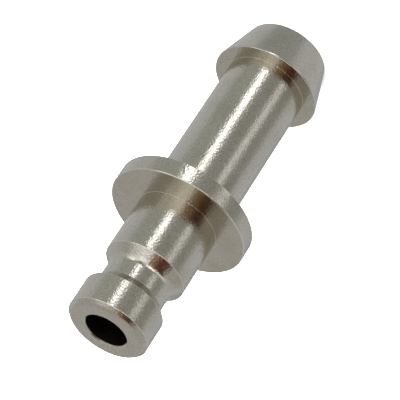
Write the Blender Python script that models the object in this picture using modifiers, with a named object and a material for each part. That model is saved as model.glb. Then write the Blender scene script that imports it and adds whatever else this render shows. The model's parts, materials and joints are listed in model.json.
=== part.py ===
"""Quick coupling plug with a hose barb, turned from one bar of brass.

The plug stands on its barb end, with its axis along +Z and the locking nose at the top.
The origin is the centre of the barb's flat end. Lengths are in metres.
"""

import math

import bpy

MM = 0.001

# Driving dimensions. A place along the axis is its distance from the nose's end face.
OVERALL_LENGTH = 22.4 * MM
BORE_DIAMETER = 2.6 * MM

NOSE_DIAMETER = 5.0 * MM
NOSE_LENGTH = 2.1 * MM
NOSE_CHAMFER = 0.25 * MM
GROOVE_DIAMETER = 3.95 * MM
GROOVE_FLOOR_TOP = 2.7 * MM
GROOVE_FLOOR_END = 3.9 * MM
LOCKING_CONE_END = 4.5 * MM

SLEEVE_DIAMETER = 5.0 * MM
FLANGE_DIAMETER = 8.6 * MM
FLANGE_FRONT = 8.35 * MM
FLANGE_THICKNESS = 1.15 * MM

SHANK_DIAMETER = 5.0 * MM
BARB_DIAMETER = 6.7 * MM
BARB_TIP_DIAMETER = 5.1 * MM
BARB_LENGTH = 2.9 * MM
BARB_LAND = 0.1 * MM

EDGE_BREAK = 0.07 * MM
ROOT_FILLET = 0.1 * MM
CONE_FILLET = 0.7 * MM
BORE_MOUTH_CHAMFER = 0.08 * MM

TURN_STEPS = 64
ARC_STEPS = 3
WELD_DISTANCE = 0.001 * MM


def height(distance_from_nose):
    """Z of a plane that lies this far behind the nose's end face."""
    return OVERALL_LENGTH - distance_from_nose


def outline():
    """The closed half section as (radius, z, corner rounding), from the nose face down the outer side."""
    nose = NOSE_DIAMETER / 2
    groove = GROOVE_DIAMETER / 2
    sleeve = SLEEVE_DIAMETER / 2
    flange = FLANGE_DIAMETER / 2
    shank = SHANK_DIAMETER / 2
    barb = BARB_DIAMETER / 2
    tip = BARB_TIP_DIAMETER / 2
    bore = BORE_DIAMETER / 2
    mouth = bore + BORE_MOUTH_CHAMFER
    flange_rear = FLANGE_FRONT + FLANGE_THICKNESS
    return [
        (mouth, height(0), 0),
        (nose - NOSE_CHAMFER, height(0), EDGE_BREAK),
        (nose, height(NOSE_CHAMFER), EDGE_BREAK),
        (nose, height(NOSE_LENGTH), EDGE_BREAK),
        (groove, height(GROOVE_FLOOR_TOP), ROOT_FILLET),
        (groove, height(GROOVE_FLOOR_END), CONE_FILLET),
        (sleeve, height(LOCKING_CONE_END), EDGE_BREAK),
        (sleeve, height(FLANGE_FRONT), ROOT_FILLET),
        (flange, height(FLANGE_FRONT), EDGE_BREAK),
        (flange, height(flange_rear), EDGE_BREAK),
        (shank, height(flange_rear), ROOT_FILLET),
        (shank, BARB_LENGTH, ROOT_FILLET),
        (barb, BARB_LENGTH, 0),
        (barb, BARB_LENGTH - BARB_LAND, 0),
        (tip, 0, EDGE_BREAK),
        (mouth, 0, 0),
        (bore, BORE_MOUTH_CHAMFER, 0),
        (bore, height(BORE_MOUTH_CHAMFER), 0),
    ]


def unit(dx, dz):
    length = math.hypot(dx, dz)
    return dx / length, dz / length


def rounded(before, corner, after):
    """The points of the arc that replaces a corner, tangent to both its sides."""
    radius = corner[2]
    if radius == 0:
        return [corner[:2]]
    into = unit(before[0] - corner[0], before[1] - corner[1])
    out = unit(after[0] - corner[0], after[1] - corner[1])
    half_angle = math.acos(into[0] * out[0] + into[1] * out[1]) / 2
    bisector = unit(into[0] + out[0], into[1] + out[1])
    reach = radius / math.sin(half_angle)
    centre = (corner[0] + bisector[0] * reach, corner[1] + bisector[1] * reach)
    setback = radius / math.tan(half_angle)
    start = (corner[0] + into[0] * setback, corner[1] + into[1] * setback)
    end = (corner[0] + out[0] * setback, corner[1] + out[1] * setback)
    first = math.atan2(start[1] - centre[1], start[0] - centre[0])
    last = math.atan2(end[1] - centre[1], end[0] - centre[0])
    sweep = math.remainder(last - first, math.tau)
    points = []
    for step in range(ARC_STEPS + 1):
        angle = first + sweep * step / ARC_STEPS
        points.append((centre[0] + radius * math.cos(angle), centre[1] + radius * math.sin(angle)))
    return points


def section_points():
    corners = outline()
    points = []
    for index, corner in enumerate(corners):
        points += rounded(corners[index - 1], corner, corners[(index + 1) % len(corners)])
    return points


def nickel_plate():
    material = bpy.data.materials.new("nickel_plate")
    material.use_nodes = True
    shader = material.node_tree.nodes["Principled BSDF"]
    shader.inputs["Base Color"].default_value = (0.56, 0.52, 0.43, 1)
    shader.inputs["Metallic"].default_value = 1.0
    shader.inputs["Roughness"].default_value = 0.22
    return material


def plug_body():
    """The turned body: the half section swept round the Z axis."""
    section = section_points()
    mesh = bpy.data.meshes.new("plug_body")
    vertices = [(radius, 0, z) for radius, z in section]
    edges = [(index, (index + 1) % len(section)) for index in range(len(section))]
    mesh.from_pydata(vertices, edges, [])
    body = bpy.data.objects.new("plug_body", mesh)

    turn = body.modifiers.new("turn", "SCREW")
    turn.axis = "Z"
    turn.angle = math.tau
    turn.steps = TURN_STEPS
    turn.render_steps = TURN_STEPS
    turn.use_merge_vertices = True
    turn.merge_threshold = WELD_DISTANCE
    turn.use_smooth_shade = True
    return body


def clear_scene():
    for item in list(bpy.data.objects):
        bpy.data.objects.remove(item, do_unlink=True)


def main():
    clear_scene()
    collection = bpy.data.collections.new("hose_coupling_plug")
    bpy.context.scene.collection.children.link(collection)
    body = plug_body()
    body.data.materials.append(nickel_plate())
    collection.objects.link(body)


main()
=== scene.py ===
"""Looks for the quick coupling plug: a finely turned, nickel-plated body in a plain white studio.

The part stands on its barb end at the origin, with its axis along +Z. Lengths are in metres and
angles in degrees. An azimuth runs from +X towards +Y, and the main camera is at azimuth -90.
"""

import json
import math

import bpy
from mathutils import Matrix, Vector


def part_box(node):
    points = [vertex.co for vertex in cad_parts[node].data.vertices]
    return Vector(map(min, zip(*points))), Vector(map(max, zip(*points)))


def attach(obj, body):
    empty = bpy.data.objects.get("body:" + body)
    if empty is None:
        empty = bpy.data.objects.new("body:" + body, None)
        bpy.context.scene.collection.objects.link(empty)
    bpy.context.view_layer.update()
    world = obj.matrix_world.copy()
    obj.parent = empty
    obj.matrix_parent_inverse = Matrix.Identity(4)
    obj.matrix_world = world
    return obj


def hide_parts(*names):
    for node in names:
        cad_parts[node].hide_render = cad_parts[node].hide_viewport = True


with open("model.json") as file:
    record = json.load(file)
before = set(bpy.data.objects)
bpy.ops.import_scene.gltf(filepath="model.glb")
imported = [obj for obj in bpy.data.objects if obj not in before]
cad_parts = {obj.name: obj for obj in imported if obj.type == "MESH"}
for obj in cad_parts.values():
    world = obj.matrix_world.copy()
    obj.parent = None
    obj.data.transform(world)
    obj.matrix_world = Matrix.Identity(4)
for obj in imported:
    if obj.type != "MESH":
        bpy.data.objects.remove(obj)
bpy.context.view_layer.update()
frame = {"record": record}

MM = 0.001

# The body. A place along the nose is its distance from the nose's end face, and the barb's sizes
# run up from the part's lowest plane.
PLUG_RADIUS = 2.5 * MM
BORE_RADIUS = 1.3 * MM
BORE_MOUTH_RADIUS = 1.38 * MM
NOSE_LENGTH = 2.1 * MM
GROOVE_RADIUS = 1.975 * MM
GROOVE_FLOOR_TOP = 2.7 * MM
GROOVE_FLOOR_END = 3.9 * MM
LOCKING_CONE_END = 4.5 * MM
BARB_RADIUS = 3.35 * MM
BARB_TIP_RADIUS = 2.55 * MM
BARB_LENGTH = 2.9 * MM
BARB_LAND = 0.1 * MM

NOSE_CHAMFER = 0.25 * MM

# Corner roundings
NOSE_FACE_ROUND = 0.3 * MM
FINE_EDGE = 0.03 * MM
EDGE_BREAK = 0.07 * MM
CREST_ROUND = 0.04 * MM
ROOT_FILLET = 0.1 * MM
CONE_FILLET = 0.7 * MM

TURN_STEPS = 288
ARC_STEPS = 8

# The camera
LENS_MM = 198
SENSOR_MM = 36
CAMERA_DISTANCE = 127 * MM
CAMERA_AZIMUTH = -89.8
CAMERA_ELEVATION = 31.2
CAMERA_ROLL = -146.9
AIM = Vector((-0.42, 0.1, 11.9)) * MM
CLIP_NEAR = 0.01
CLIP_FAR = 10


def mount_height(name):
    """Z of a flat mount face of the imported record."""
    for mount in frame["record"]["mounts"]:
        if mount["name"] == name:
            return mount["pos_m"][2]
    raise KeyError(name)


def body_corners():
    """The closed half section as (radius, z, corner rounding), down the outer side and up the bore."""
    low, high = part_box("plug_body")
    top = high.z
    flange = high.x
    flange_front = mount_height("socket_stop_face")
    flange_rear = mount_height("hose_stop_face")
    mouth_depth = BORE_MOUTH_RADIUS - BORE_RADIUS
    return [
        (BORE_MOUTH_RADIUS, top, FINE_EDGE),
        (PLUG_RADIUS - NOSE_CHAMFER, top, NOSE_FACE_ROUND),
        (PLUG_RADIUS, top - NOSE_CHAMFER, EDGE_BREAK),
        (PLUG_RADIUS, top - NOSE_LENGTH, EDGE_BREAK),
        (GROOVE_RADIUS, top - GROOVE_FLOOR_TOP, ROOT_FILLET),
        (GROOVE_RADIUS, top - GROOVE_FLOOR_END, CONE_FILLET),
        (PLUG_RADIUS, top - LOCKING_CONE_END, EDGE_BREAK),
        (PLUG_RADIUS, flange_front, FINE_EDGE),
        (flange, flange_front, EDGE_BREAK),
        (flange, flange_rear, EDGE_BREAK),
        (PLUG_RADIUS, flange_rear, FINE_EDGE),
        (PLUG_RADIUS, BARB_LENGTH, FINE_EDGE),
        (BARB_RADIUS, BARB_LENGTH, CREST_ROUND),
        (BARB_RADIUS, BARB_LENGTH - BARB_LAND, CREST_ROUND),
        (BARB_TIP_RADIUS, low.z, EDGE_BREAK),
        (BORE_MOUTH_RADIUS, low.z, FINE_EDGE),
        (BORE_RADIUS, low.z + mouth_depth, FINE_EDGE),
        (BORE_RADIUS, top - mouth_depth, FINE_EDGE),
    ]


def rounded_corner(before, corner, after):
    """The arc that rounds a corner, as (point, normal, edge). Edge is 1 on a crisp outer corner, or 0."""
    rounding = corner[2]
    here = Vector(corner[:2])
    into = (Vector(before[:2]) - here).normalized()
    out = (Vector(after[:2]) - here).normalized()
    half_angle = into.angle(out) / 2
    centre = here + (into + out).normalized() * (rounding / math.sin(half_angle))
    setback = rounding / math.tan(half_angle)
    first = (here + into * setback - centre).normalized()
    last = (here + out * setback - centre).normalized()
    outward = 1 if first.cross(last) < 0 else -1
    on_edge = 1 if outward > 0 and rounding <= EDGE_BREAK else 0
    points = []
    for step in range(ARC_STEPS + 1):
        spoke = first.slerp(last, step / ARC_STEPS)
        inner_step = 0 < step < ARC_STEPS
        points.append((centre + spoke * rounding, spoke * outward, on_edge if inner_step else 0))
    return points


def body_section():
    """The whole half section, every corner rounded, as (point, normal, edge)."""
    corners = body_corners()
    section = []
    for index, corner in enumerate(corners):
        after = corners[(index + 1) % len(corners)]
        section += rounded_corner(corners[index - 1], corner, after)
    return section


def ring_faces(rings):
    """Quads between neighbouring rings of vertices, with the last ring joined to the first."""
    faces = []
    for ring in range(rings):
        below = (ring + 1) % rings
        for step in range(TURN_STEPS):
            beside = (step + 1) % TURN_STEPS
            faces.append((
                ring * TURN_STEPS + step,
                below * TURN_STEPS + step,
                below * TURN_STEPS + beside,
                ring * TURN_STEPS + beside,
            ))
    return faces


def turned_plug():
    """The body, swept round Z, with the exact normal of the section at every vertex.

    Two attributes serve the material: "along" is the length along the section, and "edge" marks
    crisp outer corners, where the material paints a highlight.
    """
    section = body_section()
    vertices = []
    normals = []
    along = []
    edges = []
    length = 0
    last_point = section[0][0]
    for point, normal, edge in section:
        length += (point - last_point).length
        last_point = point
        along += [length] * TURN_STEPS
        edges += [float(edge)] * TURN_STEPS
        for step in range(TURN_STEPS):
            angle = math.tau * step / TURN_STEPS
            cos = math.cos(angle)
            sin = math.sin(angle)
            vertices.append((point.x * cos, point.x * sin, point.y))
            normals.append((normal.x * cos, normal.x * sin, normal.y))
    mesh = bpy.data.meshes.new("turned_plug")
    mesh.from_pydata(vertices, [], ring_faces(len(section)))
    mesh.shade_smooth()
    mesh.normals_split_custom_set_from_vertices(normals)
    mesh.attributes.new("along", "FLOAT", "POINT").data.foreach_set("value", along)
    mesh.attributes.new("edge", "FLOAT", "POINT").data.foreach_set("value", edges)
    plug = bpy.data.objects.new("turned_plug", mesh)
    bpy.context.scene.collection.objects.link(plug)
    return plug


class Nodes:
    """A short way to write node trees: each call adds one node and returns its output."""

    def __init__(self, tree):
        self.tree = tree

    def add(self, kind, output=0, inputs=(), **settings):
        node = self.tree.nodes.new(kind)
        for name, value in settings.items():
            setattr(node, name, value)
        for socket, value in dict(inputs).items():
            if isinstance(value, bpy.types.NodeSocket):
                self.tree.links.new(value, node.inputs[socket])
            else:
                node.inputs[socket].default_value = value
        return node.outputs[output]

    def math(self, operation, first, second=0.0):
        return self.add("ShaderNodeMath", inputs={0: first, 1: second}, operation=operation)

    def ramp(self, value, start, end, low=0.0, high=1.0, smooth=True):
        """value mapped from start..end to low..high, held outside."""
        return self.add(
            "ShaderNodeMapRange",
            inputs={0: value, 1: start, 2: end, 3: low, 4: high},
            interpolation_type="SMOOTHSTEP" if smooth else "LINEAR",
        )

    def noise(self, vector, size, detail=2.0, roughness=0.5):
        """Noise whose largest features are about this size, in the units of the vector."""
        return self.add(
            "ShaderNodeTexNoise",
            inputs={"Vector": vector, "Scale": 1 / size, "Detail": detail, "Roughness": roughness},
        )

    def mix(self, factor, first, second):
        return self.add(
            "ShaderNodeMix",
            output=2,
            inputs={0: factor, 6: first, 7: second},
            data_type="RGBA",
        )


# The plate's colours
NICKEL = (0.56, 0.52, 0.43, 1)
NICKEL_STAINED = (0.50, 0.455, 0.36, 1)
# Painted highlight: the lighter colour given to crisp outer edges, so that their rim lines shine brighter
NICKEL_RIM_HIGHLIGHT = (0.88, 0.86, 0.80, 1)
PIT_GREY = (0.36, 0.33, 0.26, 1)
# Painted shade: the near-black colour of the bore's wall
BORE_PAINTED_SHADE = (0.05, 0.045, 0.035, 1)

# The plate's patterns: how large they are, and how strongly they show
GRAIN_SIZE = 0.13 * MM
GRAIN_DEPTH = 0.014 * MM
MARK_SIZE = 0.07 * MM
MARK_DEPTH = 0.0012 * MM
MARK_RUN = 2.2 * MM
PIT_SIZE = 0.11 * MM
PIT_COVER = 0.5
STAIN_SIZE = 2.2 * MM
CLOUD_SIZE = 0.8 * MM
# How strongly the painted rim highlight lightens the crisp outer edges
RIM_HIGHLIGHT_COVER = 0.3
ROUGHNESS_LOW = 0.13
ROUGHNESS_HIGH = 0.2
BORE_ROUGHNESS = 0.45
BORE_BLEND = 0.02 * MM


def nickel_plate():
    """Semi-bright nickel with a satin grain, faint turning marks, pits and stains, a painted highlight on
    crisp edges and painted shade in the bore.
    """
    material = bpy.data.materials.new("nickel_plate")
    material.use_nodes = True
    tree = material.node_tree
    shader = tree.nodes["Principled BSDF"]
    nodes = Nodes(tree)

    place = nodes.add("ShaderNodeTexCoord", output=3)
    parts = tree.nodes.new("ShaderNodeSeparateXYZ")
    tree.links.new(place, parts.inputs[0])
    x, y, _ = parts.outputs
    squares = nodes.math("ADD", nodes.math("MULTIPLY", x, x), nodes.math("MULTIPLY", y, y))
    radius = nodes.math("SQRT", squares)
    edge = nodes.add("ShaderNodeAttribute", output="Fac", attribute_name="edge")
    along = nodes.add("ShaderNodeAttribute", output="Fac", attribute_name="along")

    # For the marks left by turning: the same all round at one place on the section, but for a
    # slow change over the distance MARK_RUN.
    turning = nodes.add("ShaderNodeCombineXYZ", inputs={
        0: nodes.math("MULTIPLY", nodes.math("DIVIDE", x, radius), MARK_RUN),
        1: nodes.math("MULTIPLY", nodes.math("DIVIDE", y, radius), MARK_RUN),
        2: along,
    })

    grain = nodes.noise(place, GRAIN_SIZE, detail=2.0, roughness=0.55)
    marks = nodes.noise(turning, MARK_SIZE, detail=1.0)
    pits = nodes.ramp(nodes.noise(place, PIT_SIZE, detail=2.0), 0.42, 0.75)
    stain = nodes.ramp(nodes.noise(place, STAIN_SIZE, detail=3.0), 0.45, 0.75)
    cloud = nodes.noise(place, CLOUD_SIZE, detail=4.0)
    # The bore's wall, which gets painted shade and rougher metal
    bore = nodes.ramp(radius, BORE_RADIUS, BORE_RADIUS + BORE_BLEND, 1.0, 0.0)

    plated = nodes.mix(stain, NICKEL, NICKEL_STAINED)
    plated = nodes.mix(nodes.math("MULTIPLY", pits, PIT_COVER), plated, PIT_GREY)
    # Painted highlight: crisp outer edges are lightened, which brightens their rim lines
    plated = nodes.mix(nodes.math("MULTIPLY", edge, RIM_HIGHLIGHT_COVER), plated, NICKEL_RIM_HIGHLIGHT)
    # Painted shade: the bore's wall is coloured near-black
    tree.links.new(nodes.mix(bore, plated, BORE_PAINTED_SHADE), shader.inputs["Base Color"])

    roughness = nodes.ramp(cloud, 0.3, 0.7, ROUGHNESS_LOW, ROUGHNESS_HIGH, smooth=False)
    roughness = nodes.math("MAXIMUM", roughness, nodes.math("MULTIPLY", bore, BORE_ROUGHNESS))
    tree.links.new(roughness, shader.inputs["Roughness"])
    shader.inputs["Metallic"].default_value = 1.0

    grain_bump = nodes.add("ShaderNodeBump", inputs={
        "Strength": 1.0, "Distance": GRAIN_DEPTH, "Height": grain,
    })
    marks_bump = nodes.add("ShaderNodeBump", inputs={
        "Strength": 1.0, "Distance": MARK_DEPTH, "Height": marks, "Normal": grain_bump,
    })
    tree.links.new(marks_bump, shader.inputs["Normal"])
    return material


def only_in_reflections(obj):
    """Leaves an object out of everything but what shiny surfaces mirror."""
    obj.visible_camera = False
    obj.visible_diffuse = False
    obj.visible_transmission = False
    obj.visible_volume_scatter = False
    obj.visible_shadow = False


# What the polished metal mirrors: soft-edged panels on a grey room, by direction. Each is
# (azimuth, half width, low elevation, high elevation, edge softness, colour), later ones in front.
ROOM_GREY = (0.60, 0.63, 0.68)
PANELS = {
    "ceiling": (0, 181, 24, 100, 12, (0.52, 0.52, 0.53)),
    "far_wall": (98, 32, -70, 10, 20, (0.42, 0.44, 0.465)),
    "left_wall": (-126, 46, -50, -12, 18, (0.36, 0.368, 0.372)),
    "right_wall": (-32, 28, -50, -12, 20, (0.44, 0.475, 0.475)),
    "bench": (-60, 62, -95, -52, 20, (0.40, 0.43, 0.45)),
    "window_glow": (-52, 34, 8, 56, 18, (0.95, 0.98, 1.05)),
    "fill_strip": (-128, 8, -50, -22, 8, (0.96, 1.0, 1.07)),
    "window": (-66, 17, 6, 54, 12, (1.45, 1.5, 1.65)),
    "horizon": (-92, 70, -8, 7, 7, (1.05, 1.05, 1.08)),
    "low_left_glow": (-99, 11, -8, 10, 7, (2.8, 2.8, 2.9)),
    "low_right_glow": (-36, 10, -11, 10, 7, (1.8, 1.85, 1.95)),
    "gap": (-66, 13, -22, 6, 8, (0.28, 0.29, 0.31)),
    "strip_light": (-65.5, 5.5, -46, -24, 6, (3.7, 3.85, 4.25)),
    "board_top": (-138, 34, 56, 82, 8, (0.22, 0.165, 0.13)),
    "board_edge": (-104, 18, 10, 68, 10, (0.37, 0.24, 0.14)),
    "brown_board": (-129, 18, 10, 68, 6, (0.115, 0.043, 0.029)),
    "board_corner": (-149, 6, 40, 67, 6, (0.15, 0.085, 0.065)),
}
DOME_RADIUS = 0.6


def reflection_dome():
    """A sphere that only reflections see, carrying the panels."""
    bpy.ops.mesh.primitive_uv_sphere_add(segments=64, ring_count=32, radius=DOME_RADIUS)
    dome = bpy.context.object
    dome.name = "reflection_dome"
    material = bpy.data.materials.new("reflection_dome")
    material.use_nodes = True
    material.cycles.emission_sampling = "NONE"
    tree = material.node_tree
    tree.nodes.clear()
    nodes = Nodes(tree)
    place = nodes.add("ShaderNodeTexCoord", output=3)
    direction = nodes.add("ShaderNodeVectorMath", inputs={0: place}, operation="NORMALIZE")
    flat = nodes.add("ShaderNodeVectorMath", inputs={0: place, 1: (1, 1, 0)}, operation="MULTIPLY")
    heading = nodes.add("ShaderNodeVectorMath", inputs={0: flat}, operation="NORMALIZE")
    parts = tree.nodes.new("ShaderNodeSeparateXYZ")
    tree.links.new(direction, parts.inputs[0])
    elevation = nodes.math("DEGREES", nodes.math("ARCSINE", parts.outputs[2]))
    colour = (*ROOM_GREY, 1)
    for azimuth, half_width, low, high, softness, panel_colour in PANELS.values():
        angle = math.radians(azimuth)
        towards = (math.cos(angle), math.sin(angle), 0)
        facing = nodes.add(
            "ShaderNodeVectorMath",
            output=1,
            inputs={0: heading, 1: towards},
            operation="DOT_PRODUCT",
        )
        away = nodes.math("DEGREES", nodes.math("ARCCOSINE", facing))
        half_soft = softness / 2
        inside = nodes.ramp(away, half_width - half_soft, half_width + half_soft, 1.0, 0.0)
        above = nodes.ramp(elevation, low - half_soft, low + half_soft)
        below = nodes.ramp(elevation, high - half_soft, high + half_soft, 1.0, 0.0)
        cover = nodes.math("MULTIPLY", inside, nodes.math("MULTIPLY", above, below))
        colour = nodes.mix(cover, colour, (*panel_colour, 1))
    emission = nodes.add("ShaderNodeEmission", inputs={"Color": colour, "Strength": 1.0})
    output = tree.nodes.new("ShaderNodeOutputMaterial")
    tree.links.new(emission, output.inputs["Surface"])
    dome.data.materials.append(material)
    only_in_reflections(dome)
    return dome


FLOOR_RADIUS = 1.5
FLOOR_WHITE = (0.86, 0.86, 0.86, 1)


def pale_floor():
    """A matt white floor, left out of reflections, where the dome's lower half takes its place."""
    bpy.ops.mesh.primitive_circle_add(vertices=96, radius=FLOOR_RADIUS, fill_type="NGON")
    floor = bpy.context.object
    floor.name = "floor"
    material = bpy.data.materials.new("floor")
    material.use_nodes = True
    shader = material.node_tree.nodes["Principled BSDF"]
    shader.inputs["Base Color"].default_value = FLOOR_WHITE
    shader.inputs["Roughness"].default_value = 0.9
    shader.inputs["Specular IOR Level"].default_value = 0.2
    floor.data.materials.append(material)
    floor.visible_glossy = False
    return floor


LIGHT_PLACE = Vector((0.1, -0.15, 0.7))
LIGHT_SIZE = 0.6
LIGHT_POWER = 30


def overhead_light():
    """A large soft light that shines on the floor and the plug but shows in no reflection."""
    light = bpy.data.lights.new("overhead", "AREA")
    light.size = LIGHT_SIZE
    light.energy = LIGHT_POWER
    lamp = bpy.data.objects.new("overhead", light)
    lamp.location = LIGHT_PLACE
    lamp.rotation_euler = (-LIGHT_PLACE).to_track_quat("-Z", "Y").to_euler()
    lamp.visible_glossy = False
    lamp.visible_camera = False
    bpy.context.scene.collection.objects.link(lamp)


def studio():
    world = bpy.data.worlds.new("studio")
    world.use_nodes = True
    background = world.node_tree.nodes["Background"]
    background.inputs["Color"].default_value = (1, 1, 1, 1)
    background.inputs["Strength"].default_value = 1.0
    bpy.context.scene.world = world
    overhead_light()
    pale_floor()
    reflection_dome()


def camera():
    data = bpy.data.cameras.new("camera")
    data.lens = LENS_MM
    data.sensor_width = SENSOR_MM
    data.clip_start = CLIP_NEAR
    data.clip_end = CLIP_FAR
    obj = bpy.data.objects.new("camera", data)
    azimuth = math.radians(CAMERA_AZIMUTH)
    elevation = math.radians(CAMERA_ELEVATION)
    roll = math.radians(CAMERA_ROLL)
    back = Vector((
        math.cos(elevation) * math.cos(azimuth),
        math.cos(elevation) * math.sin(azimuth),
        math.sin(elevation),
    ))
    level = Vector((0, 0, 1)).cross(back).normalized()
    upright = back.cross(level)
    right = level * math.cos(roll) + upright * math.sin(roll)
    up = upright * math.cos(roll) - level * math.sin(roll)
    turn = Matrix((right, up, back)).transposed().to_4x4()
    obj.matrix_world = Matrix.Translation(AIM + back * CAMERA_DISTANCE) @ turn
    bpy.context.scene.collection.objects.link(obj)
    bpy.context.scene.camera = obj


plug = turned_plug()
plug.data.materials.append(nickel_plate())
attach(plug, "root")
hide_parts("plug_body")

studio()
camera()
bpy.context.scene.view_settings.view_transform = "Standard"
